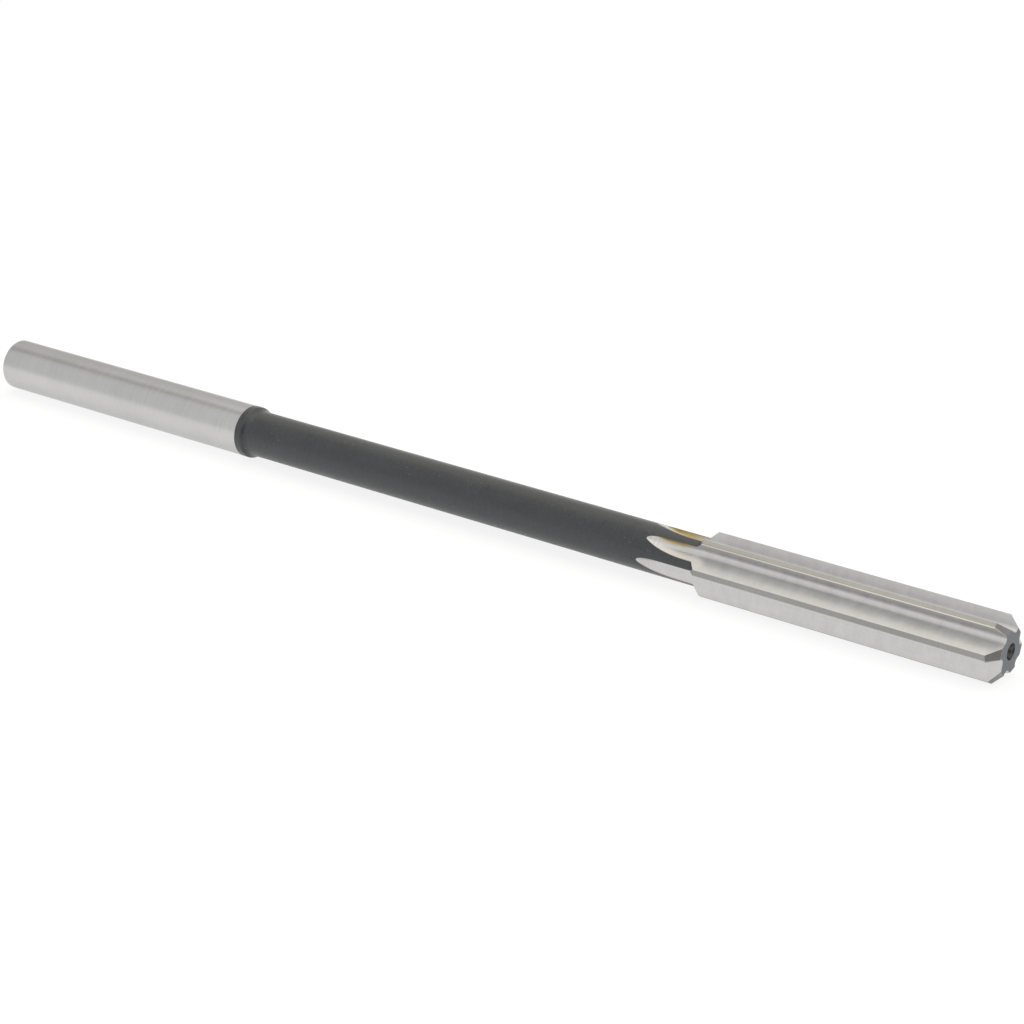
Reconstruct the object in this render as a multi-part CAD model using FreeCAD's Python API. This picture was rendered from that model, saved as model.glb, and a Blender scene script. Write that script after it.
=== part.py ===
# Straight-shank machine reamer: six straight flutes, right-hand cut, 45 degree lead.
# One bar of high-speed steel, turned, fluted and ground, so it is one solid.
# It lies as it rests, on the edges of two neighbouring teeth.
# Frame: +X along the tool towards the cutting end, +Z up.  The origin is midway along
# the tool and under its axis, with the supporting tooth edges on Z = 0.  Millimetres.
# The tool is first made from its rear face on X = 0 and moved to that frame at the end.
import FreeCAD, Part
import math
import os

# Whole tool
OVERALL_LENGTH = 177.8

# Shank: ground cylinder held by the chuck
SHANK_DIAMETER = 7.887
SHANK_LENGTH = 50.8
REAR_CHAMFER = 0.6

# Collar: the band at the front of the shank that the grinding wheel stops short of
COLLAR_LENGTH = 1.1
GRINDING_STEP = 0.02
SHOULDER_ANGLE = 40.0
SHOULDER_CORNER_RADIUS = 0.5
NECK_FILLET_RADIUS = 1.5

# Neck: reduced bar between the shank and the teeth
NECK_DIAMETER = 6.94

# Cutting section
REAMER_DIAMETER = 9.128
TOOTH_LENGTH = 44.45           # at full diameter, with the lead
BACK_RAMP_ANGLE = 45.0         # rise from the neck to the backs of the teeth
LEAD_LENGTH = 1.3
LEAD_ANGLE = 45.0
LEAD_RELIEF_ANGLE = 15.0

# Teeth: unequal spacing against chatter, opposite edges in line
FIRST_SPACING = 62.08
SECOND_SPACING = 58.03
LAND_WIDTH = 0.92
MARGIN_WIDTH = 0.3
LAND_RELIEF_ANGLE = 8.0

# Flutes: one form wheel, its flat side on the cutting face
RAKE_ANGLE = 6.0
FLUTE_ANGLE = 71.5
FLUTE_ROOT_RADIUS = 0.75
FLUTE_OVERRUN = 1.1            # full depth goes on past the foot of the back ramp
WHEEL_RADIUS = 25.4            # gives the run-outs on the neck

# Centres: both ends, for turning and grinding between centres
FRONT_CENTRE_DIAMETER = 2.3
REAR_CENTRE_DIAMETER = 2.5
CENTRE_CONE_ANGLE = 60.0
CENTRE_PILOT_DIAMETER = 1.2
CENTRE_PILOT_LENGTH = 1.6
DRILL_POINT_ANGLE = 118.0

# Derived places
X_AXIS = FreeCAD.Vector(1, 0, 0)
SHANK_R = SHANK_DIAMETER / 2
COLLAR_R = SHANK_R + GRINDING_STEP
NECK_R = NECK_DIAMETER / 2
TOOTH_R = REAMER_DIAMETER / 2
THIRD_SPACING = 180.0 - FIRST_SPACING - SECOND_SPACING
SPACINGS = 2 * (FIRST_SPACING, SECOND_SPACING, THIRD_SPACING)
SHOULDER_X = SHANK_LENGTH + COLLAR_LENGTH
RAMP_TOP_X = OVERALL_LENGTH - TOOTH_LENGTH
RAMP_FOOT_X = RAMP_TOP_X - (TOOTH_R - NECK_R) / math.tan(math.radians(BACK_RAMP_ANGLE))
FULL_DEPTH_X = RAMP_FOOT_X - FLUTE_OVERRUN
LEAD_START_X = OVERALL_LENGTH - LEAD_LENGTH
CLEAR = TOOTH_R                # how far cutting solids stand outside the bar


def turned(vector, degrees):
    # a vector across the tool, turned about the tool axis from +Z towards +Y
    return FreeCAD.Rotation(X_AXIS, -degrees).multVec(vector)


def across(radius, degrees, x=0.0):
    # point at a radius, at an angle measured from +Z towards +Y
    return turned(FreeCAD.Vector(0, 0, radius), degrees) + X_AXIS * x


def rounded_outline(corners):
    # closed wire through (point, corner radius) pairs with tangent arcs at the corners
    arcs = []
    for i, (point, radius) in enumerate(corners):
        before = corners[i - 1][0] - point
        after = corners[(i + 1) % len(corners)][0] - point
        before.normalize()
        after.normalize()
        arcs.append(corner_arc(point, before, after, radius))
    edges = []
    for i, arc in enumerate(arcs):
        if len(arc) == 3:
            edges.append(Part.Arc(*arc).toShape())
        edges.append(Part.makeLine(arc[-1], arcs[(i + 1) % len(arcs)][0]))
    return Part.Wire(edges)


def corner_arc(point, before, after, radius):
    # the three points of a tangent arc, or the corner itself where it is sharp
    if radius == 0:
        return [point]
    half = before.getAngle(after) / 2
    setback = radius / math.tan(half)
    inward = (before + after).normalize()
    middle = point + inward * (radius / math.sin(half) - radius)
    return [point + before * setback, middle, point + after * setback]


def revolve_profile(corners):
    # solid of revolution about the tool axis from (x, radius, corner radius) triples
    points = [(FreeCAD.Vector(x, 0, r), corner) for x, r, corner in corners]
    face = Part.Face(rounded_outline(points))
    return face.revolve(FreeCAD.Vector(0, 0, 0), X_AXIS, 360)


def blank():
    # the turned bar before fluting
    shoulder_run = (COLLAR_R - NECK_R) / math.tan(math.radians(SHOULDER_ANGLE))
    lead_drop = LEAD_LENGTH * math.tan(math.radians(LEAD_ANGLE))
    return revolve_profile([
        (0, 0, 0),
        (0, SHANK_R - REAR_CHAMFER, 0),
        (REAR_CHAMFER, SHANK_R, 0),
        (SHANK_LENGTH, SHANK_R, 0),
        (SHANK_LENGTH, COLLAR_R, 0),
        (SHOULDER_X, COLLAR_R, SHOULDER_CORNER_RADIUS),
        (SHOULDER_X + shoulder_run, NECK_R, NECK_FILLET_RADIUS),
        (RAMP_FOOT_X, NECK_R, 0),
        (RAMP_TOP_X, TOOTH_R, 0),
        (LEAD_START_X, TOOTH_R, 0),
        (OVERALL_LENGTH, TOOTH_R - lead_drop, 0),
        (OVERALL_LENGTH, 0, 0),
    ])


def centre_hole(mouth_diameter, face_x, inward):
    # drilled centre: cone, pilot and drill point, from a face along +X or -X
    mouth_r = mouth_diameter / 2
    pilot_r = CENTRE_PILOT_DIAMETER / 2
    cone_depth = (mouth_r - pilot_r) / math.tan(math.radians(CENTRE_CONE_ANGLE / 2))
    pilot_end = cone_depth + CENTRE_PILOT_LENGTH
    point_end = pilot_end + pilot_r / math.tan(math.radians(DRILL_POINT_ANGLE / 2))
    return revolve_profile([
        (face_x - inward, 0, 0),
        (face_x - inward, mouth_r, 0),
        (face_x, mouth_r, 0),
        (face_x + inward * cone_depth, pilot_r, 0),
        (face_x + inward * pilot_end, pilot_r, 0),
        (face_x + inward * point_end, 0, 0),
    ])


def margin_end():
    # back of the cylindrical margin of a tooth whose cutting edge is at angle 0
    return across(TOOTH_R, math.degrees(MARGIN_WIDTH / TOOTH_R))


def relief_direction():
    # along the relieved land, away from the cutting edge
    angle = math.degrees(MARGIN_WIDTH / TOOTH_R)
    return turned(FreeCAD.Vector(0, 1, 0), angle + LAND_RELIEF_ANGLE)


def heel():
    # back corner of the same tooth
    return margin_end() + relief_direction() * (LAND_WIDTH - MARGIN_WIDTH)


def flute_section(spacing):
    # space between a cutting edge at angle 0 and the heel of the tooth before it
    edge = across(TOOTH_R, 0)
    back = turned(heel(), -spacing)
    rise = turned(FreeCAD.Vector(0, 0, 1), -RAKE_ANGLE)
    slope = turned(rise, -FLUTE_ANGLE)
    apex = back + slope * meeting_distance(back, slope, edge, rise)
    return apex, rise, [
        (apex, FLUTE_ROOT_RADIUS),
        (edge + rise * CLEAR, 0),
        (edge + rise * CLEAR + slope * CLEAR, 0),
        (back + slope * CLEAR, 0),
    ]


def meeting_distance(start, along, other, other_along):
    # signed distance along the first line, across the tool, to the second line
    gap = other - start
    return gap.cross(other_along).x / along.cross(other_along).x


def flute_cut(spacing):
    # straight groove to the tip, then the wheel climbing out through the neck
    apex, rise, corners = flute_section(spacing)
    setback = FLUTE_ROOT_RADIUS / math.tan(math.radians(FLUTE_ANGLE / 2))
    root = apex + rise * (setback - FLUTE_ROOT_RADIUS)
    wheel_centre = root + rise * WHEEL_RADIUS + X_AXIS * FULL_DEPTH_X
    face = Part.Face(rounded_outline(corners))
    face.translate(X_AXIS * FULL_DEPTH_X)
    groove = face.extrude(X_AXIS * (OVERALL_LENGTH + CLEAR - FULL_DEPTH_X))
    run_out = face.revolve(wheel_centre, rise.cross(X_AXIS), 60)
    return groove.fuse(run_out).removeSplitter()


def slab(corner, side, other_side, height):
    # solid over a parallelogram
    far = corner + side + other_side
    wire = Part.makePolygon([corner, corner + side, far, corner + other_side, corner])
    return Part.Face(wire).extrude(height)


def land_relief_cut():
    # takes the land down behind the margin
    corner = margin_end() + X_AXIS * RAMP_FOOT_X
    back = relief_direction() * (2 * LAND_WIDTH)
    length = X_AXIS * (OVERALL_LENGTH + CLEAR - RAMP_FOOT_X)
    return slab(corner, back, length, across(CLEAR, 0))


def lead_relief_cut():
    # flat facet behind the slanting cutting edge of the lead
    corner = across(TOOTH_R, 0, LEAD_START_X)
    lead = math.radians(LEAD_ANGLE)
    along = FreeCAD.Vector(math.cos(lead), 0, -math.sin(lead))
    back = FreeCAD.Rotation(along, -LEAD_RELIEF_ANGLE).multVec(FreeCAD.Vector(0, 1, 0))
    near = corner - along * LEAD_LENGTH - back * MARGIN_WIDTH
    across_tooth = MARGIN_WIDTH + TOOTH_R / 2
    return slab(near, along * (3 * LEAD_LENGTH), back * across_tooth, along.cross(back) * CLEAR)


def resting_turn():
    # angle of the cutting edge that touches the table, past straight down
    back = heel()
    back_angle = math.degrees(math.atan2(back.y, back.z))
    gap = math.radians(THIRD_SPACING - back_angle)
    r = back.Length
    return math.degrees(math.atan((TOOTH_R - r * math.cos(gap)) / (r * math.sin(gap))))


def tooth_cuts(spacing, edge_angle):
    # everything ground away for one tooth, turned to its place
    cuts = [flute_cut(spacing), land_relief_cut(), lead_relief_cut()]
    for cut in cuts:
        cut.rotate(FreeCAD.Vector(0, 0, 0), X_AXIS, -edge_angle)
    return cuts


def reamer():
    # the finished tool about its own axis, its first cutting edge where it rests
    cuts = [centre_hole(FRONT_CENTRE_DIAMETER, OVERALL_LENGTH, -1),
            centre_hole(REAR_CENTRE_DIAMETER, 0, 1)]
    edge_angle = 180.0 + resting_turn()
    for i, spacing in enumerate(SPACINGS):
        cuts += tooth_cuts(SPACINGS[i - 1], edge_angle)
        edge_angle += spacing
    return blank().cut(cuts).removeSplitter()


def main():
    os.makedirs("parts", exist_ok=True)
    shape = reamer()
    axis_height = max(TOOTH_R * math.cos(math.radians(resting_turn())), COLLAR_R)
    shape.translate(FreeCAD.Vector(-OVERALL_LENGTH / 2, 0, axis_height))
    shape.exportStep("parts/reamer_body.step")
    print("solids", len(shape.Solids), "valid", shape.isValid(), "volume", round(shape.Volume, 2))
    print("tool axis", round(axis_height, 4), "mm above the table")


main()
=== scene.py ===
import bpy
import math
from mathutils import Matrix, Vector


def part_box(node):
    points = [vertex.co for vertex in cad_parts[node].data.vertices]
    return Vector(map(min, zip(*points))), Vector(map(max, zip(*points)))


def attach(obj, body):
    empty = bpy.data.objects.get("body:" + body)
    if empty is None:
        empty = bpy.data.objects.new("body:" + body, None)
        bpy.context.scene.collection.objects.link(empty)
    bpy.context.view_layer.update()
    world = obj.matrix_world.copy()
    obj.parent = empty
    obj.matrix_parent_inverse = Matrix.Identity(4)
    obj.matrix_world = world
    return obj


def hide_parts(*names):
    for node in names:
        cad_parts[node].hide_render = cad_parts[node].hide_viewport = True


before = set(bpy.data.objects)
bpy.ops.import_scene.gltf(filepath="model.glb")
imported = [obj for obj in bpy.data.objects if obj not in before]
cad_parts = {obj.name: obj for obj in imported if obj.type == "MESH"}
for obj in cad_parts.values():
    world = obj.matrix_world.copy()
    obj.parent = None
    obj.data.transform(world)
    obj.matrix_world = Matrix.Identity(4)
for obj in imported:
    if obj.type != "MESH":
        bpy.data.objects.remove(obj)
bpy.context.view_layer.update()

mm = 0.001          # sizes are in millimetres and degrees, the frame is in metres
barSizes = {
    "length": 177.8,
    "shankDiameter": 7.887,
    "shankLength": 50.8,
    "rearChamfer": 0.6,
    "collarLength": 1.1,                # black band in front of the ground shank
    "collarStep": 0.02,                 # how far it stands above the ground surface
    "shoulderAngle": 40.0,
    "cornerRadius": 0.5,
    "filletRadius": 1.5,
    "neckDiameter": 6.94,
}
toothSizes = {
    "diameter": 9.128,
    "length": 44.45,
    "rampAngle": 45.0,                  # rise from the neck to the backs of the teeth
    "leadLength": 1.3,
    "leadAngle": 45.0,
    "leadRelief": 15.0,
    "spacings": (62.08, 58.03, 59.89),  # repeated on the other half
    "land": 0.92,
    "margin": 0.3,                      # round part of the land, behind the cutting edge
    "landRelief": 8.0,
    "rake": 6.0,
    "fluteAngle": 71.5,                 # between the cutting face and the far wall
    "rootRadius": 0.75,
    "overrun": 1.1,                     # full depth goes on past the foot of the ramp
    "wheelRadius": 25.4,                # gives the run-outs on the neck
}
centreSizes = {
    "frontMouth": 2.3,
    "rearMouth": 2.5,
    "coneAngle": 60.0,
    "pilot": 1.2,
    "pilotLength": 1.6,
    "pointAngle": 118.0,
}
meshDetail = {
    "marginSteps": 4,
    "reliefSteps": 10,
    "seamStep": 4,              # relief steps before the seam
    "fluteSteps": 44,
    "rootCrowding": 0.9,        # how much closer the columns stand in the root
    "shankRings": 8,
    "cornerSteps": 6,
    "filletSteps": 8,
    "neckRings": 26,
    "tipWidth": 0.6,            # degrees that a flute's columns share at its tip
    "scoopRings": 30,
    "scoopCrowding": 1.5,       # rings stand closer where the run-outs end
    "toothRings": 10,
    "leadRings": 4,
    "wallReach": 6.0,           # straight flute walls run past the outside
    "rootReach": 2.0,           # the deepest place is looked for this far round the root
    "scoopReach": 20.0,         # and the tip this far behind the full depth
    "searchSteps": 200,
    "sampleSteps": 160,
    "halvings": 50,
}

neckR = barSizes["neckDiameter"] / 2
shankR = barSizes["shankDiameter"] / 2
collarR = shankR + barSizes["collarStep"]
toothR = toothSizes["diameter"] / 2
length = barSizes["length"]
rampSlope = math.tan(math.radians(toothSizes["rampAngle"]))
rampTop = length - toothSizes["length"]
rampFoot = rampTop - (toothR - neckR) / rampSlope
fullDepth = rampFoot - toothSizes["overrun"]
leadStart = length - toothSizes["leadLength"]
marginAngle = toothSizes["margin"] / toothR


def reliefLine():
    # back end of the margin and the direction of the relieved land, across the tool
    tilt = marginAngle + math.radians(toothSizes["landRelief"])
    start = Vector((toothR * math.sin(marginAngle), toothR * math.cos(marginAngle)))
    return start, Vector((math.cos(tilt), -math.sin(tilt)))


def heelPoint():
    start, along = reliefLine()
    return start + along * (toothSizes["land"] - toothSizes["margin"])


heelAngle = math.atan2(heelPoint().x, heelPoint().y)


def crossOf(a, b):
    return a.x * b.y - a.y * b.x


def reliefRadius(w):
    # radius of the land at an angle behind the cutting edge
    if w <= marginAngle:
        return toothR
    start, along = reliefLine()
    ray = Vector((math.sin(w), math.cos(w)))
    return crossOf(start, along) / crossOf(ray, along)


def facetNormal():
    # flat behind the slanting lead edge
    lead, relief = math.radians(toothSizes["leadAngle"]), math.radians(toothSizes["leadRelief"])
    return Vector((math.sin(lead) * math.cos(relief), math.sin(relief),
                   math.cos(lead) * math.cos(relief)))


def facetRadius(x, w):
    n = facetNormal()
    return (n.z * toothR - n.x * (x - leadStart)) / (n.y * math.sin(w) + n.z * math.cos(w))


def barRadius(x):
    if x <= rampFoot:
        return neckR
    return min(toothR, neckR + (x - rampFoot) * rampSlope)


def topRadius(x, w):
    # outside of a tooth or of the neck, w behind that tooth's cutting edge
    r = barRadius(x)
    if x > rampFoot:
        r = min(r, reliefRadius(w))
    if x > leadStart - 2 * toothSizes["leadLength"]:
        r = min(r, facetRadius(x, w))
    return r


def rampBoundary(w):
    # x at which the ramp meets the land
    return rampTop if w <= marginAngle else rampFoot + (reliefRadius(w) - neckR) / rampSlope


def leadBoundary(w):
    # x at which the land meets the lead
    n = facetNormal()
    across = n.y * math.sin(w) + n.z * math.cos(w)
    return leadStart + (n.z * toothR - reliefRadius(w) * across) / n.x


class Flute:
    # groove in front of a cutting edge at angle 0, with the heel of the tooth before it
    # on its far side
    def __init__(self, spacing):
        self.spacing = math.radians(spacing)
        rake = math.radians(toothSizes["rake"])
        self.open = math.radians(toothSizes["fluteAngle"])
        self.rise = Vector((-math.sin(rake), math.cos(rake)))
        self.side = Vector((-math.cos(rake), -math.sin(rake)))
        heel = Matrix.Rotation(self.spacing, 2) @ heelPoint()
        edge = Vector((0, toothR))
        slope = self.rise * math.cos(self.open) + self.side * math.sin(self.open)
        self.apex = heel - slope * ((heel - edge).dot(self.side) / math.sin(self.open))
        self.round = toothSizes["rootRadius"]
        self.setback = self.round / math.tan(self.open / 2)
        self.wall = meshDetail["wallReach"]
        self.arc = self.round * (math.pi - self.open)
        self.total = 2 * self.wall + self.arc
        self.tip = self.findTip()

    def profile(self, q):
        # (sideways, height) from the heel wall, through the root, up the cutting face
        if q < self.wall:
            t = self.setback + self.wall - q
            return t * math.sin(self.open), t * math.cos(self.open)
        if q > self.wall + self.arc:
            return 0.0, self.setback + q - self.wall - self.arc
        a = math.pi + (self.wall + self.arc - q) / self.round
        return self.round * (1 + math.cos(a)), self.setback + self.round * math.sin(a)

    def point(self, q, x):
        # the same groove, also where the wheel has begun to climb out
        s, h = self.profile(q)
        dx = max(0.0, fullDepth - x)
        if dx > 0:
            wheel, low = toothSizes["wheelRadius"], self.setback - self.round
            h = low + wheel - math.sqrt(max((wheel - h + low) ** 2 - dx * dx, 0.0))
        return self.apex + self.side * s + self.rise * h

    def above(self, q, x, heelSide):
        # how far the groove stands above the outside of the bar
        p = self.point(q, x)
        w = math.atan2(p.x, p.y)
        return p.length - topRadius(x, w + self.spacing if heelSide else w)

    def lowest(self, x):
        # deepest place, searched along the groove
        reach, steps = meshDetail["rootReach"], meshDetail["searchSteps"]
        first, extent = self.wall - reach, self.arc + 2 * reach
        places = [first + i * extent / steps for i in range(steps + 1)]
        return min(places, key=lambda q: self.point(q, x).length)

    def findTip(self):
        # x at which the run-out comes out of the neck
        near, far = fullDepth, fullDepth - meshDetail["scoopReach"]
        for _ in range(meshDetail["halvings"]):
            mid = (near + far) / 2
            if self.point(self.lowest(mid), mid).length < neckR:
                near = mid
            else:
                far = mid
        return near

    def crossing(self, x, heelSide):
        # where the groove leaves the outside of the bar
        inside = self.lowest(x)
        outside = 0.0 if heelSide else self.total
        for _ in range(meshDetail["halvings"]):
            mid = (inside + outside) / 2
            if self.above(mid, x, heelSide) < 0:
                inside = mid
            else:
                outside = mid
        return inside

    def columns(self, xHeel, xLead):
        # (x, radius, angle, way past the root) from heel to cutting edge
        q0, q1 = self.crossing(xHeel, True), self.crossing(xLead, False)
        samples = meshDetail["sampleSteps"]
        fine = [q0 + (q1 - q0) * i / samples for i in range(samples + 1)]
        weight = [0.0]
        for a, b in zip(fine, fine[1:]):
            inRoot = max(0.0, min(b, self.wall + self.arc) - max(a, self.wall))
            extra = meshDetail["rootCrowding"] * inRoot / self.round
            weight.append(weight[-1] + (b - a) + extra)
        out, k = [], 0
        for i in range(fluteSteps + 1):
            share = i / fluteSteps
            want = weight[-1] * share
            while k < samples - 1 and weight[k + 1] < want:
                k += 1
            part = (want - weight[k]) / (weight[k + 1] - weight[k])
            q = fine[k] + (fine[k + 1] - fine[k]) * min(max(part, 0.0), 1.0)
            x = xHeel + (xLead - xHeel) * share
            p = self.point(q, x)
            out.append((x, p.length, math.atan2(p.x, p.y), q - self.wall - self.arc))
        return out


# columns of one sector: back of a land, flute, margin, front of the next land
marginSteps = meshDetail["marginSteps"]
reliefSteps = meshDetail["reliefSteps"]
seamStep = meshDetail["seamStep"]
fluteSteps = meshDetail["fluteSteps"]
backSteps = reliefSteps - seamStep
sectorSteps = backSteps + fluteSteps + marginSteps + seamStep
flutes = [Flute(s) for s in toothSizes["spacings"]]
sectors = len(flutes)
halfSteps = sectors * sectorSteps
seamAngle = marginAngle + (heelAngle - marginAngle) * seamStep / reliefSteps
print("flutes worked out, run-out tips at", [round(f.tip, 2) for f in flutes])


def eased(t):
    return t * t * (3 - 2 * t)


def landColumns(edge, heel, marginAt=None, xOf=None):
    # across one land, from the cutting edge to the heel, without its two ends
    x1, r1, w1 = edge[:3]
    x2, r2, w2 = heel[:3]
    if marginAt is None:
        marginAt = w1 + (w2 - w1) * marginAngle / heelAngle
    angles = [w1 + (marginAt - w1) * i / marginSteps for i in range(1, marginSteps + 1)]
    angles += [marginAt + (w2 - marginAt) * i / reliefSteps for i in range(1, reliefSteps)]
    out = []
    for w in angles:
        x = xOf(w) if xOf else x1 + (x2 - x1) * eased((w - w1) / (w2 - w1))
        out.append((x, topRadius(x, w), w, 0.0))
    return out


def halfRing(fluteRows, marginAt=None, xOf=None):
    # one ring of the half: three sectors, each row given about its own cutting edge
    lands = []
    for k in range(sectors):
        after = (k + 1) % sectors
        x, r, w, q = fluteRows[after][0]
        heel = (x, r, w + flutes[after].spacing)
        lands.append(landColumns(fluteRows[k][-1], heel, marginAt, xOf))
    out, edgeAngle = [], 0.0
    landSeam = marginSteps + seamStep - 1
    for k, flute in enumerate(flutes):
        out += [(x, r, w + edgeAngle, q) for x, r, w, q in lands[k - 1][landSeam:]]
        edgeAngle += flute.spacing
        out += [(x, r, w + edgeAngle, q) for x, r, w, q in fluteRows[k] + lands[k][:landSeam]]
    x, r, w, q = out[0]
    out.append((x, r, w + math.pi, q))
    return out


def roundRing(x, r):
    return [(x, r, seamAngle + math.pi * i / halfSteps, 0.0) for i in range(halfSteps + 1)]


def squeezedRing():
    # last ring of the plain neck, the flute columns gathered at the run-out tips
    width = math.radians(meshDetail["tipWidth"])
    rows = []
    for flute in flutes:
        p = flute.point(flute.lowest(flute.tip), flute.tip)
        mid = math.atan2(p.x, p.y)
        rows.append([(flute.tip, neckR, mid + width * (i / fluteSteps - 0.5), 0.0)
                     for i in range(fluteSteps + 1)])
    return halfRing(rows)


def blendRings(a, b, share):
    slide = eased(share)
    return [(xa + (xb - xa) * share, ra + (rb - ra) * share, wa + (wb - wa) * slide, 0.0)
            for (xa, ra, wa, qa), (xb, rb, wb, qb) in zip(a, b)]


def toothRing(xOf):
    # ring over the teeth, x given by the angle behind a cutting edge
    rows = [flute.columns(xOf(heelAngle), xOf(0.0)) for flute in flutes]
    return halfRing(rows, marginAngle, xOf)


def arcPoints(corner, before, after, radius, steps):
    # tangent arc at a corner of the turned outline
    half = before.angle(after) / 2
    setback = radius / math.tan(half)
    centre = corner + (before + after).normalized() * (radius / math.sin(half))
    start, end = corner + before * setback - centre, corner + after * setback - centre
    turn = start.angle_signed(end)
    return [centre + Matrix.Rotation(-turn * i / steps, 2) @ start for i in range(steps + 1)]


def shoulderOutline():
    slope = math.radians(barSizes["shoulderAngle"])
    top = Vector((barSizes["shankLength"] + barSizes["collarLength"], collarR))
    foot = Vector((top.x + (collarR - neckR) / math.tan(slope), neckR))
    down = Vector((math.cos(slope), -math.sin(slope)))
    points = arcPoints(top, Vector((-1, 0)), down, barSizes["cornerRadius"],
                       meshDetail["cornerSteps"])
    points += arcPoints(foot, -down, Vector((1, 0)), barSizes["filletRadius"],
                        meshDetail["filletSteps"])
    return points


def holeRings(mouth, face, inward):
    # drilled centre from its mouth to the end of its pilot, and its bottom point
    mouthR, pilotR = mouth / 2, centreSizes["pilot"] / 2
    cone = (mouthR - pilotR) / math.tan(math.radians(centreSizes["coneAngle"] / 2))
    deep = cone + centreSizes["pilotLength"]
    point = deep + pilotR / math.tan(math.radians(centreSizes["pointAngle"] / 2))
    rings = [roundRing(face, mouthR), roundRing(face + inward * cone, pilotR),
             roundRing(face + inward * deep, pilotR)]
    return rings, face + inward * point


shankZone, neckZone, fluteZone, landZone, leadZone, endZone, holeZone = range(7)


class HalfTool:
    # rings from the rear to the front, the zone of each band between them, and the rings
    # that are corners all round or only across the lands
    def __init__(self):
        self.rings, self.bands, self.corners = [], [], []

    def add(self, ring, zone, corner=None):
        if self.rings:
            self.bands.append(zone)
        self.rings.append(ring)
        if corner:
            self.cornerHere(corner)

    def cornerHere(self, corner):
        self.corners.append((self.last(), corner))

    def last(self):
        return len(self.rings) - 1


def buildRings():
    tool = HalfTool()
    rearRings, tool.rearPoint = holeRings(centreSizes["rearMouth"], 0.0, 1)
    for ring in reversed(rearRings):
        tool.add(ring, holeZone, "all")
    chamfer, shankEnd = barSizes["rearChamfer"], barSizes["shankLength"]
    tool.add(roundRing(0.0, shankR - chamfer), endZone, "all")
    tool.add(roundRing(chamfer, shankR), shankZone, "all")
    steps = meshDetail["shankRings"]
    for i in range(1, steps + 1):
        tool.add(roundRing(chamfer + (shankEnd - chamfer) * i / steps, shankR), shankZone)
    tool.cornerHere("all")
    tool.add(roundRing(shankEnd, collarR), neckZone, "all")
    outline = shoulderOutline()
    for p in outline:
        tool.add(roundRing(p.x, p.y), neckZone)
    neckStart, neckEnd = roundRing(outline[-1].x, neckR), squeezedRing()
    steps = meshDetail["neckRings"]
    for i in range(1, steps + 1):
        tool.add(blendRings(neckStart, neckEnd, i / steps), neckZone)
    tool.scoopStart = tool.last()
    steps = meshDetail["scoopRings"]
    for i in range(1, steps + 1):
        share = (i / steps) ** meshDetail["scoopCrowding"]
        places = [f.tip + (fullDepth - f.tip) * share for f in flutes]
        tool.add(halfRing([f.columns(x, x) for f, x in zip(flutes, places)]), neckZone)
    tool.add(halfRing([f.columns(rampFoot, rampFoot) for f in flutes]), neckZone, "land")
    tool.add(toothRing(lambda w: (rampFoot + rampBoundary(w)) / 2), landZone)
    tool.add(toothRing(rampBoundary), landZone, "land")
    tool.toothStart = tool.last()
    steps = meshDetail["toothRings"]
    for i in range(1, steps + 1):
        tool.add(toothRing(lambda w: rampBoundary(w)
                           + (leadBoundary(w) - rampBoundary(w)) * i / steps), landZone)
    tool.cornerHere("land")
    steps = meshDetail["leadRings"]
    for i in range(1, steps + 1):
        tool.add(toothRing(lambda w: leadBoundary(w)
                           + (length - leadBoundary(w)) * i / steps), leadZone)
    tool.cornerHere("all")
    tool.endRing = tool.last()
    frontRings, tool.frontPoint = holeRings(centreSizes["frontMouth"], length, -1)
    tool.add(frontRings[0], endZone, "all")
    for ring in frontRings[1:]:
        tool.add(ring, holeZone, "all")
    return tool


def inFlute(column):
    c = column % sectorSteps
    return backSteps <= c < backSteps + fluteSteps


def halfFaces(tool, rearPole, frontPole):
    # faces and their zones, pointing outwards
    width = halfSteps + 1
    faces, zones = [], []
    for i, zone in enumerate(tool.bands):
        base = i * width
        if i == tool.endRing:       # the end face: one wide face for each sector
            for k in range(sectors):
                c0, c1 = k * sectorSteps, (k + 1) * sectorSteps
                faces.append([base + c0] + [base + width + c for c in range(c0, c1 + 1)]
                             + [base + c for c in range(c1, c0, -1)])
                zones.append(zone)
            continue
        for c in range(halfSteps):
            faces.append((base + c, base + width + c, base + width + c + 1, base + c + 1))
            cut = tool.scoopStart <= i < tool.endRing and inFlute(c)
            zones.append(fluteZone if cut else zone)
    lastBase = tool.last() * width
    for c in range(halfSteps):
        faces.append((rearPole, c, c + 1))
        faces.append((lastBase + c, frontPole, lastBase + c + 1))
        zones += [holeZone, holeZone]
    return faces, zones


def sharpEdges(tool):
    width = halfSteps + 1
    sharp = set()
    for row, which in tool.corners:
        for c in range(halfSteps):
            if which == "all" or not inFlute(c):
                sharp.add((row * width + c, row * width + c + 1))
    for row in range(tool.scoopStart, tool.endRing):
        for k in range(sectors):
            heel = k * sectorSteps + backSteps
            columns = [heel, heel + fluteSteps]
            if row >= tool.toothStart:
                columns.append(heel + fluteSteps + marginSteps)
            sharp.update((row * width + c, (row + 1) * width + c) for c in columns)
    return sharp


def columnShares(column):
    # share across the flute from heel to edge, and across the land from edge to heel
    c = column % sectorSteps
    landSteps = marginSteps + reliefSteps
    if backSteps <= c <= backSteps + fluteSteps:
        return (c - backSteps) / fluteSteps, (1.0 if c == backSteps else 0.0)
    if c < backSteps:
        return 0.0, (seamStep + marginSteps + c) / landSteps
    return 1.0, (c - backSteps - fluteSteps) / landSteps


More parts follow.
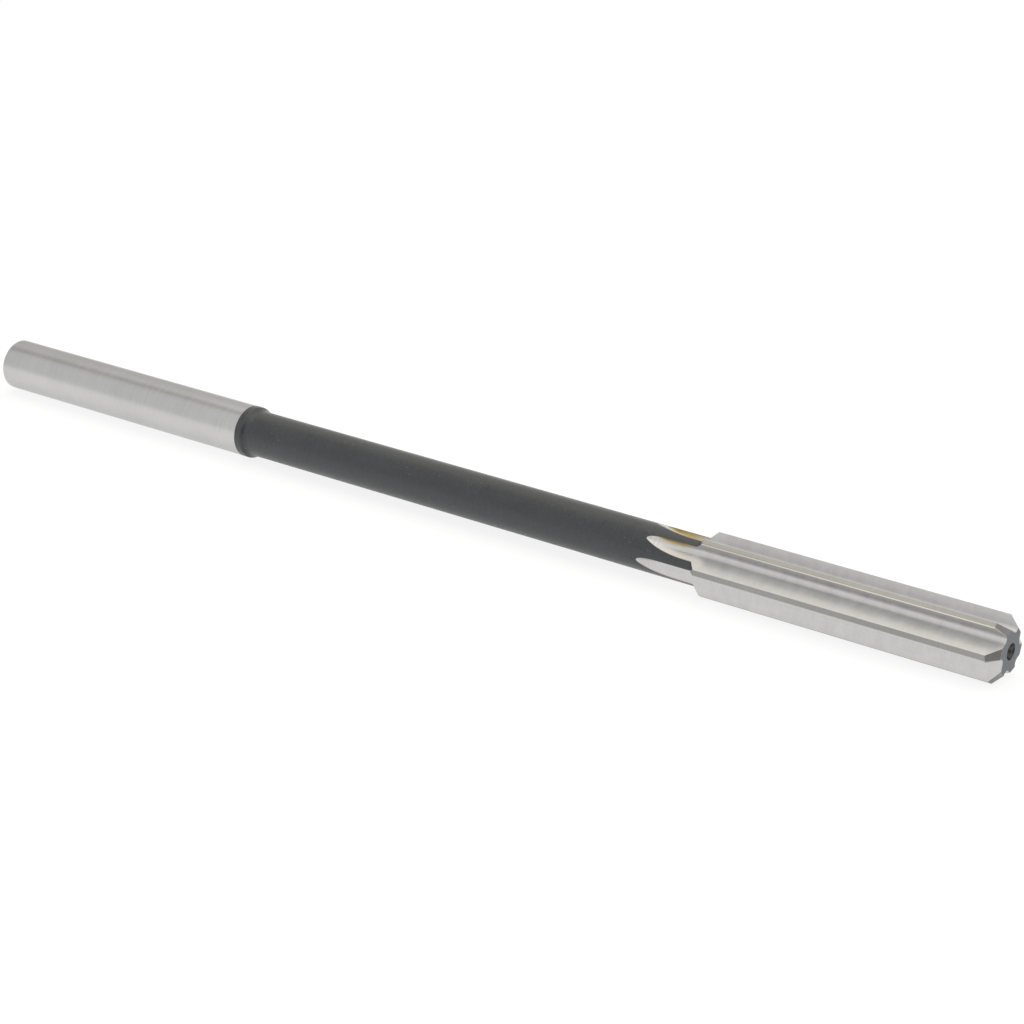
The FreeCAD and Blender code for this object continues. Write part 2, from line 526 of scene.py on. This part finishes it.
def pointValues(tool):
    # what the finishes read at each point, with two more for the bottoms of the centres
    values = {"fluteShare": [], "landShare": [], "runOut": [], "pastRoot": []}
    for ring in tool.rings:
        for c, (x, r, w, q) in enumerate(ring):
            flute = flutes[min(c // sectorSteps, sectors - 1)]
            fluteShare, landShare = columnShares(c)
            values["fluteShare"].append(fluteShare)
            values["landShare"].append(landShare)
            values["runOut"].append((x - flute.tip) / (rampFoot - flute.tip))
            values["pastRoot"].append(q)
    for column in values.values():
        column += [0.0, 0.0]
    return values


def makeHalf():
    tool = buildRings()
    middle = length / 2
    verts = [((x - middle) * mm, r * math.sin(w) * mm, r * math.cos(w) * mm)
             for ring in tool.rings for x, r, w, q in ring]
    verts += [((x - middle) * mm, 0, 0) for x in (tool.rearPoint, tool.frontPoint)]
    faces, zones = halfFaces(tool, len(verts) - 2, len(verts) - 1)
    mesh = bpy.data.meshes.new("reamerHalf")
    mesh.from_pydata(verts, [], faces)
    mesh.attributes.new("zone", "INT", "FACE").data.foreach_set("value", zones)
    sharp = sharpEdges(tool)
    marks = mesh.attributes.new("sharp_edge", "BOOLEAN", "EDGE")
    for edge in mesh.edges:
        if tuple(sorted(edge.vertices)) in sharp:
            marks.data[edge.index].value = True
    for name, values in pointValues(tool).items():
        mesh.attributes.new(name, "FLOAT", "POINT").data.foreach_set("value", values)
    mesh.update()
    piece = bpy.data.objects.new("reamerHalf", mesh)
    bpy.context.scene.collection.objects.link(piece)
    print("half of the tool:", len(verts), "points,", len(faces), "faces")
    return piece


def restingTurn():
    # angle past straight down of the cutting edge that touches the table
    gap = flutes[-1].spacing - heelAngle
    r = heelPoint().length
    return math.atan((toothR - r * math.cos(gap)) / (r * math.sin(gap)))


turnSettings = {
    "Halves": 2,
    "Turn": math.pi,
    "First turn": -math.pi - restingTurn(),     # the tool lies on two of its teeth
    "Seam distance": 5e-8,
}


class NodeTree:
    # short calls for building node trees
    def __init__(self, tree):
        self.tree = tree

    def node(self, kind, inputs=None, **settings):
        n = self.tree.nodes.new(kind)
        for key, value in settings.items():
            setattr(n, key, value)
        for key, value in (inputs or {}).items():
            self.feed(n.inputs[key], value)
        return n

    def feed(self, socket, value):
        if isinstance(value, bpy.types.NodeSocket):
            self.tree.links.new(value, socket)
        else:
            socket.default_value = value


def turnTree(materials):
    # the half repeated round the tool axis, merged, lifted and given its finishes
    tree = bpy.data.node_groups.new("turnedHalves", "GeometryNodeTree")
    face = tree.interface
    face.new_socket("Geometry", in_out="INPUT", socket_type="NodeSocketGeometry")
    face.new_socket("Halves", in_out="INPUT", socket_type="NodeSocketInt")
    for name in ("Turn", "First turn", "Axis height", "Seam distance"):
        face.new_socket(name, in_out="INPUT", socket_type="NodeSocketFloat")
    face.new_socket("Geometry", in_out="OUTPUT", socket_type="NodeSocketGeometry")
    kit = NodeTree(tree)
    given = kit.node("NodeGroupInput").outputs
    points = kit.node("GeometryNodeMeshLine", {
        "Count": given["Halves"], "Offset": (0.0, 0.0, 0.0)})
    index = kit.node("GeometryNodeInputIndex")
    angle = maths(kit, "MULTIPLY", index.outputs[0], given["Turn"])
    angle = maths(kit, "ADD", angle, given["First turn"])
    turn = kit.node("ShaderNodeCombineXYZ", {"X": angle})
    copies = kit.node("GeometryNodeInstanceOnPoints", {
        "Points": points.outputs[0], "Instance": given["Geometry"], "Rotation": turn.outputs[0]})
    real = kit.node("GeometryNodeRealizeInstances", {"Geometry": copies.outputs[0]})
    joined = kit.node("GeometryNodeMergeByDistance", {
        "Geometry": real.outputs[0], "Distance": given["Seam distance"]})
    rise = kit.node("ShaderNodeCombineXYZ", {"Z": given["Axis height"]})
    lifted = kit.node("GeometryNodeSetPosition", {
        "Geometry": joined.outputs[0], "Offset": rise.outputs[0]})
    shape = kit.node("GeometryNodeSetShadeSmooth", {
        "Geometry": lifted.outputs[0], "Shade Smooth": True}).outputs[0]
    zone = kit.node("GeometryNodeInputNamedAttribute", {"Name": "zone"}, data_type="INT")
    for i, material in enumerate(materials):
        same = kit.node("FunctionNodeCompare", data_type="INT", operation="EQUAL")
        ints = [s for s in same.inputs if s.type == "INT"]
        kit.feed(ints[0], zone.outputs["Attribute"])
        kit.feed(ints[1], i)
        shape = kit.node("GeometryNodeSetMaterial", {
            "Geometry": shape, "Selection": same.outputs[0], "Material": material}).outputs[0]
    kit.node("NodeGroupOutput", {"Geometry": shape})
    return tree


def makeReamer(materials):
    half = makeHalf()
    low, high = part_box("reamer_body")
    settings = dict(turnSettings)
    settings["Axis height"] = (low[2] + high[2]) / 2
    tree = turnTree(materials)
    modifier = half.modifiers.new("turnedHalves", "NODES")
    modifier.node_group = tree
    for item in tree.interface.items_tree:
        if item.in_out == "INPUT" and item.name in settings:
            modifier[item.identifier] = settings[item.name]
    graph = bpy.context.evaluated_depsgraph_get()
    mesh = bpy.data.meshes.new_from_object(half.evaluated_get(graph), depsgraph=graph)
    mesh.name = "reamer"
    half.modifiers.remove(modifier)
    bpy.data.objects.remove(half)
    piece = bpy.data.objects.new("reamer", mesh)
    bpy.context.scene.collection.objects.link(piece)
    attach(piece, "root")
    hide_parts("reamer_body")
    print("reamer:", len(mesh.vertices), "points,", len(mesh.polygons), "faces,",
          len(mesh.materials), "materials")


def finish(name):
    material = bpy.data.materials.new(name)
    material.use_nodes = True
    material.node_tree.nodes.clear()
    kit = NodeTree(material.node_tree)
    shader = kit.node("ShaderNodeBsdfPrincipled")
    kit.node("ShaderNodeOutputMaterial", {"Surface": shader.outputs[0]})
    return material, kit, shader


def maths(kit, operation, a, b):
    return kit.node("ShaderNodeMath", {0: a, 1: b}, operation=operation).outputs[0]


def times(kit, *values):
    product = values[0]
    for value in values[1:]:
        product = maths(kit, "MULTIPLY", product, value)
    return product


def weighted(kit, *parts):
    # sum of (value, weight) pairs
    shares = [times(kit, value, weight) for value, weight in parts]
    total = shares[0]
    for share in shares[1:]:
        total = maths(kit, "ADD", total, share)
    return total


def streaks(kit, scale, detail=3.0, rough=0.6):
    # noise stretched by a scale for each direction of the piece
    place = kit.node("ShaderNodeTexCoord")
    spread = kit.node("ShaderNodeMapping", {"Vector": place.outputs["Object"], "Scale": scale})
    noise = kit.node("ShaderNodeTexNoise", {
        "Vector": spread.outputs[0], "Scale": 1.0, "Detail": detail, "Roughness": rough})
    return noise.outputs["Fac"]


def span(kit, value, start, end, low=0.0, high=1.0):
    # value between start and end, brought to low and high
    return kit.node("ShaderNodeMapRange", {
        "Value": value, "From Min": start, "From Max": end,
        "To Min": low, "To Max": high}).outputs[0]


def softStep(kit, value, start, end):
    # 0 at the start, 1 at the end
    return kit.node("ShaderNodeMapRange", {
        "Value": value, "From Min": start, "From Max": end},
        interpolation_type="SMOOTHSTEP").outputs[0]


def blendColour(kit, share, a, b):
    n = kit.node("ShaderNodeMix", data_type="RGBA")
    first, second = [s for s in n.inputs if s.type == "RGBA"]
    kit.feed(n.inputs[0], share)
    kit.feed(first, a)
    kit.feed(second, b)
    return [s for s in n.outputs if s.type == "RGBA"][0]


def attribute(kit, name):
    return kit.node("ShaderNodeAttribute", attribute_name=name).outputs["Fac"]


def bump(kit, height, distance, strength=0.5):
    return kit.node("ShaderNodeBump", {
        "Height": height, "Distance": distance, "Strength": strength}).outputs[0]


def grey(value, warm=0.0):
    return (value * (1 + warm), value, value * (1 - warm), 1.0)


def shade(value, shares):
    return tuple(value * share for share in shares) + (1.0,)


shankFinish = {
    "steel": 0.575,
    "warm": 0.004,
    "uneven": (0.88, 1.08),             # darkest and lightest marks, against the steel
    "rings": (9000.0, 260.0, 260.0),    # close grinding rings round the shank
    "broad": (90.0, 60.0, 60.0),
    "contrast": (0.32, 0.68),
    "roughness": (0.25, 0.37),
    "depth": 0.000002,
}


def groundShank():
    material, kit, shader = finish("groundShank")
    f = shankFinish
    rings = streaks(kit, f["rings"], 4.0, 0.7)
    broad = streaks(kit, f["broad"], 2.0, 0.5)
    share = span(kit, weighted(kit, (rings, 0.7), (broad, 0.3)), *f["contrast"])
    dark, light = (grey(f["steel"] * u, f["warm"]) for u in f["uneven"])
    kit.feed(shader.inputs["Base Color"], blendColour(kit, share, dark, light))
    kit.feed(shader.inputs["Roughness"], span(kit, rings, 0.0, 1.0, *f["roughness"]))
    shader.inputs["Metallic"].default_value = 1.0
    kit.feed(shader.inputs["Normal"], bump(kit, rings, f["depth"]))
    return material


neckFinish = {
    "oxide": 0.010,
    "dark": (0.20, 0.25, 0.30),         # against the oxide, slightly blue
    "light": (2.0, 2.1, 2.2),
    "rings": (3600.0, 700.0, 700.0),    # turning marks under the oxide
    "grain": (3400.0, 3400.0, 3400.0),
    "cloud": (160.0, 420.0, 420.0),
    "specks": (2600.0, 2600.0, 2600.0),
    "speckStep": (0.70, 0.78),
    "speckColour": 0.06,
    "contrast": (0.36, 0.64),
    "roughness": (0.26, 0.48),
    "gloss": 1.70,
    "glossTint": (0.94, 0.98, 1.0, 1.0),
    "sheen": 0.30,
    "sheenRoughness": 0.35,
    "depth": 0.00005,
}


def blackNeck():
    material, kit, shader = finish("blackNeck")
    f = neckFinish
    rings = streaks(kit, f["rings"], 3.0, 0.65)
    grain = streaks(kit, f["grain"], 3.0, 0.75)
    specks = streaks(kit, f["specks"], 1.0, 0.5)
    cloud = streaks(kit, f["cloud"], 3.0, 0.55)
    tone = weighted(kit, (rings, 0.35), (cloud, 0.25), (grain, 0.40))
    share = span(kit, tone, *f["contrast"])
    base = blendColour(kit, share, shade(f["oxide"], f["dark"]), shade(f["oxide"], f["light"]))
    bare = softStep(kit, specks, *f["speckStep"])
    base = blendColour(kit, bare, base, grey(f["speckColour"]))
    kit.feed(shader.inputs["Base Color"], base)
    kit.feed(shader.inputs["Roughness"], span(kit, tone, 0.35, 0.65, *f["roughness"]))
    shader.inputs["IOR"].default_value = f["gloss"]
    shader.inputs["Specular Tint"].default_value = f["glossTint"]
    shader.inputs["Sheen Weight"].default_value = f["sheen"]
    shader.inputs["Sheen Roughness"].default_value = f["sheenRoughness"]
    height = maths(kit, "ADD", grain, times(kit, rings, 0.6))
    kit.feed(shader.inputs["Normal"], bump(kit, height, f["depth"], 0.7))
    return material


fluteFinish = {
    "steel": 0.60,
    "warm": 0.008,
    "uneven": (0.91, 1.07),
    "lines": (70.0, 2600.0, 2600.0),    # along the tool
    "cross": (5200.0, 300.0, 300.0),    # wheel marks across the run-outs
    "cloud": (900.0, 420.0, 420.0),     # faint mottling
    "patch": (260.0, 700.0, 700.0),     # uneven edge of the heat tint
    "contrast": (0.34, 0.66),
    "roughness": (0.35, 0.47),
    "depth": 0.000002,
    # heat tint: along is 0 at the tip of the run-out and 1 at the foot of the ramp,
    # beside is in millimetres from the root towards the cutting edge
    "straw": (0.45, 0.355, 0.15, 1.0),
    "strawAlong": ((0.10, 0.34), (1.08, 0.60)),
    "strawBeside": ((-0.95, -0.50), (0.45, 0.05)),
    "strawWeight": 0.95,
    "brown": (0.26, 0.175, 0.075, 1.0),
    "brownAlong": ((0.12, 0.24), (0.62, 0.34)),
    "brownBeside": (-0.62, -0.22),
    "brownWeight": 0.85,
    "wander": 0.14,
    # brown rims of the run-outs, in shares of the flute
    "rims": ((0.970, 0.992), (0.030, 0.008)),
    "rimWeight": 0.6,
    # darker wheel marks near the tips
    "markAlong": ((0.42, 0.18), (-0.02, 0.02)),
    "markStep": (0.50, 0.68),
    "markWeight": 0.45,
    "markSteel": 0.55,
    "markWarm": 0.04,
    "scoopEnd": (1.05, 0.95),
}


def fluteSteel():
    material, kit, shader = finish("fluteSteel")
    f = fluteFinish
    lines = streaks(kit, f["lines"], 3.0, 0.6)
    cross = streaks(kit, f["cross"], 3.0, 0.7)
    cloud = streaks(kit, f["cloud"], 4.0, 0.62)
    patch = streaks(kit, f["patch"], 3.0, 0.6)
    along = attribute(kit, "runOut")
    side = attribute(kit, "fluteShare")

    def bothSteps(value, steps):
        return times(kit, softStep(kit, value, *steps[0]), softStep(kit, value, *steps[1]))

    tone = weighted(kit, (lines, 0.30), (cloud, 0.70))
    dark, light = (grey(f["steel"] * u, f["warm"]) for u in f["uneven"])
    base = blendColour(kit, span(kit, tone, *f["contrast"]), dark, light)
    marks = span(kit, cross, *f["markStep"], 0.0, f["markWeight"])
    marks = times(kit, bothSteps(along, f["markAlong"]), marks)
    base = blendColour(kit, marks, base, grey(f["steel"] * f["markSteel"], f["markWarm"]))
    wander = span(kit, patch, 0.3, 0.7, -f["wander"], f["wander"])
    beside = maths(kit, "ADD", attribute(kit, "pastRoot"), wander)
    straw = times(kit, bothSteps(along, f["strawAlong"]), bothSteps(beside, f["strawBeside"]),
                  f["strawWeight"])
    base = blendColour(kit, straw, base, f["straw"])
    brown = times(kit, bothSteps(along, f["brownAlong"]),
                  softStep(kit, beside, *f["brownBeside"]), f["brownWeight"])
    base = blendColour(kit, brown, base, f["brown"])
    inScoop = softStep(kit, along, *f["scoopEnd"])
    rims = maths(kit, "MAXIMUM", *(softStep(kit, side, *rim) for rim in f["rims"]))
    base = blendColour(kit, times(kit, rims, inScoop, f["rimWeight"]), base, f["brown"])
    kit.feed(shader.inputs["Base Color"], base)
    kit.feed(shader.inputs["Roughness"], span(kit, tone, 0.3, 0.7, *f["roughness"]))
    shader.inputs["Metallic"].default_value = 1.0
    height = maths(kit, "ADD", lines, times(kit, cross, inScoop, 2.0))
    kit.feed(shader.inputs["Normal"], bump(kit, height, f["depth"]))
    return material


landFinishAndPaintedLight = {
    # painted shade: the lands and leads are the same steel as the flutes and shank, painted
    # darker
    "shadedLandSteel": 0.30,
    "shadedLeadSteel": 0.25,
    "warm": 0.024,
    "uneven": (0.92, 1.08),
    "lines": (2400.0, 900.0, 900.0),
    "broad": (120.0, 400.0, 400.0),
    "contrast": (0.35, 0.65),
    "edge": (0.565, 0.545, 0.510, 1.0),     # painted highlight: a bright line along the cutting edge
    "highlightStep": (0.21, 0.08),               # in shares of the land
    "roughness": (0.16, 0.26),
    "depth": 0.000002,
}


# land and lead steel, painted darker as shade, with a painted highlight along the cutting edge
def shadedLandSteel(name):
    material, kit, shader = finish(name)
    f = landFinishAndPaintedLight
    lines = streaks(kit, f["lines"], 4.0, 0.7)
    broad = streaks(kit, f["broad"], 2.0, 0.5)
    share = span(kit, weighted(kit, (lines, 0.6), (broad, 0.4)), *f["contrast"])
    dark, light = (grey(f[name] * u, f["warm"]) for u in f["uneven"])
    base = blendColour(kit, share, dark, light)
    # painted highlight: the bright colour laid over the outer part of the margin
    paintedHighlight = softStep(kit, attribute(kit, "landShare"), *f["highlightStep"])
    base = blendColour(kit, paintedHighlight, base, f["edge"])
    kit.feed(shader.inputs["Base Color"], base)
    kit.feed(shader.inputs["Roughness"], span(kit, lines, 0.0, 1.0, *f["roughness"]))
    shader.inputs["Metallic"].default_value = 1.0
    kit.feed(shader.inputs["Normal"], bump(kit, lines, f["depth"]))
    return material


endFinishAndShade = {
    # painted shade: the end face is the same steel as the flutes and shank, painted darker
    "steel": 0.18,
    "dark": (0.86, 0.90, 0.96),         # against the steel, slightly blue
    "light": (1.08, 1.12, 1.18),
    "grain": (3000.0, 3000.0, 3000.0),
    "contrast": (0.35, 0.65),
    "roughness": (0.43, 0.56),
    "depth": 0.000004,
}


def shadedEndFace():
    material, kit, shader = finish("shadedEndFace")
    f = endFinishAndShade
    grain = streaks(kit, f["grain"], 4.0, 0.7)
    share = span(kit, grain, *f["contrast"])
    base = blendColour(kit, share, shade(f["steel"], f["dark"]), shade(f["steel"], f["light"]))
    kit.feed(shader.inputs["Base Color"], base)
    kit.feed(shader.inputs["Roughness"], span(kit, grain, 0.0, 1.0, *f["roughness"]))
    shader.inputs["Metallic"].default_value = 1.0
    kit.feed(shader.inputs["Normal"], bump(kit, grain, f["depth"]))
    return material


holeFinishAndShade = {
    # painted shade: the centre holes are the same steel, painted far darker as shade in the
    # recess
    "dark": 0.045,
    "light": 0.11,
    "marks": (6000.0, 1500.0, 1500.0),
    "contrast": (0.35, 0.65),
    "roughness": 0.45,
}


def shadedCentreHole():
    material, kit, shader = finish("shadedCentreHole")
    f = holeFinishAndShade
    share = span(kit, streaks(kit, f["marks"], 3.0, 0.6), *f["contrast"])
    base = blendColour(kit, share, grey(f["dark"]), grey(f["light"]))
    kit.feed(shader.inputs["Base Color"], base)
    shader.inputs["Metallic"].default_value = 1.0
    shader.inputs["Roughness"].default_value = f["roughness"]
    return material


floorSettings = {
    "colour": 0.90,
    "size": 6.0,
    "roughness": 0.9,
    "gloss": 0.1,
    "glowSeen": 0.85,           # share of plain white for the camera
    "glowMirrored": 0.75,       # and in what the steel mirrors
}


def makeFloor():
    f = floorSettings
    s = f["size"] / 2
    mesh = bpy.data.meshes.new("floorSheet")
    mesh.from_pydata([(-s, -s, 0), (s, -s, 0), (s, s, 0), (-s, s, 0)], [], [(0, 1, 2, 3)])
    floor = bpy.data.objects.new("floorSheet", mesh)
    bpy.context.scene.collection.objects.link(floor)
    material, kit, shader = finish("paleFloor")
    shader.inputs["Base Color"].default_value = grey(f["colour"])
    shader.inputs["Roughness"].default_value = f["roughness"]
    shader.inputs["Specular IOR Level"].default_value = f["gloss"]
    rays = kit.node("ShaderNodeLightPath").outputs
    seen = weighted(kit, (rays["Is Camera Ray"], f["glowSeen"]),
                    (rays["Is Glossy Ray"], f["glowMirrored"]))
    glow = kit.node("ShaderNodeEmission", {"Color": grey(1.0), "Strength": 1.0})
    mixed = kit.node("ShaderNodeMixShader", {0: seen, 1: shader.outputs[0], 2: glow.outputs[0]})
    end = kit.tree.nodes["Material Output"]
    kit.feed(end.inputs["Surface"], mixed.outputs[0])
    mesh.materials.append(material)


skySettings = {
    "front": 0.76,              # near side of the tool, at its left
    "frontRight": 1.02,
    "back": 0.60,
    "backRight": 0.86,
    "softbox": (1.00, 0.965, 0.885),
    "softboxLevel": 1.48,
    "gap": 0.34,                # dim gap between front and back, overhead
    "corner": 0.16,             # unlit corner of the room, low on the right
    "horizon": 0.56,
    "frontWarm": -0.002,
    "backWarm": 0.02,
    "cornerWarm": 0.05,
    # where each begins and ends: x to the right, y to the back, z up,
    # and lean, which is 0 straight up and more towards the back
    "frontRightX": (-0.58, -0.38),
    "backRightX": (-0.68, -0.44),
    "backLean": (-0.10, 0.14),
    "overReach": 0.22,          # on the right, the softbox reaches over the tool
    "softboxLean": (0.80, 0.36),
    "horizonZ": (0.45, 0.05),
    "gapFrontLean": (-0.22, -0.02),
    "gapBackLean": (0.26, 0.06),
    "gapX": (-0.42, -0.58),
    "cornerX": (0.10, 0.50),
    "cornerY": (0.10, -0.25),
    "cornerZ": (0.75, 0.35),
    "flattest": 0.05,
}


def makeWorld():
    world = bpy.data.worlds.new("studio")
    bpy.context.scene.world = world
    world.use_nodes = True
    world.node_tree.nodes.clear()
    kit = NodeTree(world.node_tree)
    f = skySettings
    place = kit.node("ShaderNodeTexCoord")
    x, y, z = kit.node("ShaderNodeSeparateXYZ", {0: place.outputs["Generated"]}).outputs
    lean = maths(kit, "DIVIDE", y, maths(kit, "MAXIMUM", z, f["flattest"]))
    right = softStep(kit, x, *f["backRightX"])
    back = blendColour(kit, softStep(kit, z, *f["horizonZ"]),
                       grey(f["back"], f["backWarm"]), grey(f["horizon"], f["backWarm"]))
    back = blendColour(kit, right, back, grey(f["backRight"], f["backWarm"]))
    box = times(kit, right, softStep(kit, lean, *f["softboxLean"]))
    back = blendColour(kit, box, back, shade(f["softboxLevel"], f["softbox"]))
    front = blendColour(kit, softStep(kit, x, *f["frontRightX"]),
                        grey(f["front"], f["frontWarm"]), grey(f["frontRight"]))
    reached = maths(kit, "SUBTRACT", lean, times(kit, right, -f["overReach"]))
    colour = blendColour(kit, softStep(kit, reached, *f["backLean"]), front, back)
    gap = times(kit, softStep(kit, lean, *f["gapFrontLean"]),
                softStep(kit, lean, *f["gapBackLean"]), softStep(kit, x, *f["gapX"]))
    colour = blendColour(kit, gap, colour, grey(f["gap"]))
    corner = times(kit, softStep(kit, x, *f["cornerX"]), softStep(kit, y, *f["cornerY"]),
                   softStep(kit, z, *f["cornerZ"]))
    colour = blendColour(kit, corner, colour, grey(f["corner"], f["cornerWarm"]))
    rays = kit.node("ShaderNodeLightPath").outputs
    room = kit.node("ShaderNodeBackground", {"Color": colour, "Strength": 1.0})
    white = kit.node("ShaderNodeBackground", {"Color": grey(1.0), "Strength": 1.0})
    mixed = kit.node("ShaderNodeMixShader", {
        0: rays["Is Camera Ray"], 1: room.outputs[0], 2: white.outputs[0]})
    kit.node("ShaderNodeOutputWorld", {"Surface": mixed.outputs[0]})


lampSettings = {
    "place": (0.0, 0.1, 0.8),
    "size": 0.9,
    "power": 3.4,
}


def makeLamp():
    data = bpy.data.lights.new("overhead", "AREA")
    data.shape = "RECTANGLE"
    data.size = data.size_y = lampSettings["size"]
    data.energy = lampSettings["power"]
    lamp = bpy.data.objects.new("overhead", data)
    lamp.location = lampSettings["place"]
    lamp.rotation_euler = (-lamp.location).to_track_quat("-Z", "Y").to_euler()
    lamp.visible_glossy = False         # the sky makes the highlights
    bpy.context.scene.collection.objects.link(lamp)


cameraSettings = {
    "place": (0.205003, -0.270807, 0.136225),
    "forward": (-0.54040576, 0.75537427, -0.37063639),
    "roll": 1.428,
    "lens": 88.45,
    "sensor": 36.0,
    "nearest": 0.01,
}


def makeCamera():
    f = cameraSettings
    data = bpy.data.cameras.new("camera")
    data.lens = f["lens"]
    data.sensor_width = f["sensor"]
    data.clip_start = f["nearest"]
    camera = bpy.data.objects.new("camera", data)
    turn = Vector(f["forward"]).to_track_quat("-Z", "Y").to_matrix()
    turn = turn @ Matrix.Rotation(math.radians(f["roll"]), 3, "Z")
    camera.matrix_world = Matrix.Translation(f["place"]) @ turn.to_4x4()
    bpy.context.scene.collection.objects.link(camera)
    bpy.context.scene.camera = camera


finishes = [groundShank(), blackNeck(), fluteSteel(), shadedLandSteel("shadedLandSteel"),
            shadedLandSteel("shadedLeadSteel"), shadedEndFace(), shadedCentreHole()]     # in the order of the zones
print("finishes ready:", ", ".join(m.name for m in finishes))
makeReamer(finishes)
makeFloor()
makeWorld()
makeLamp()
makeCamera()
bpy.context.scene.view_settings.view_transform = "Standard"
print("floor, sky, lamp and camera set")
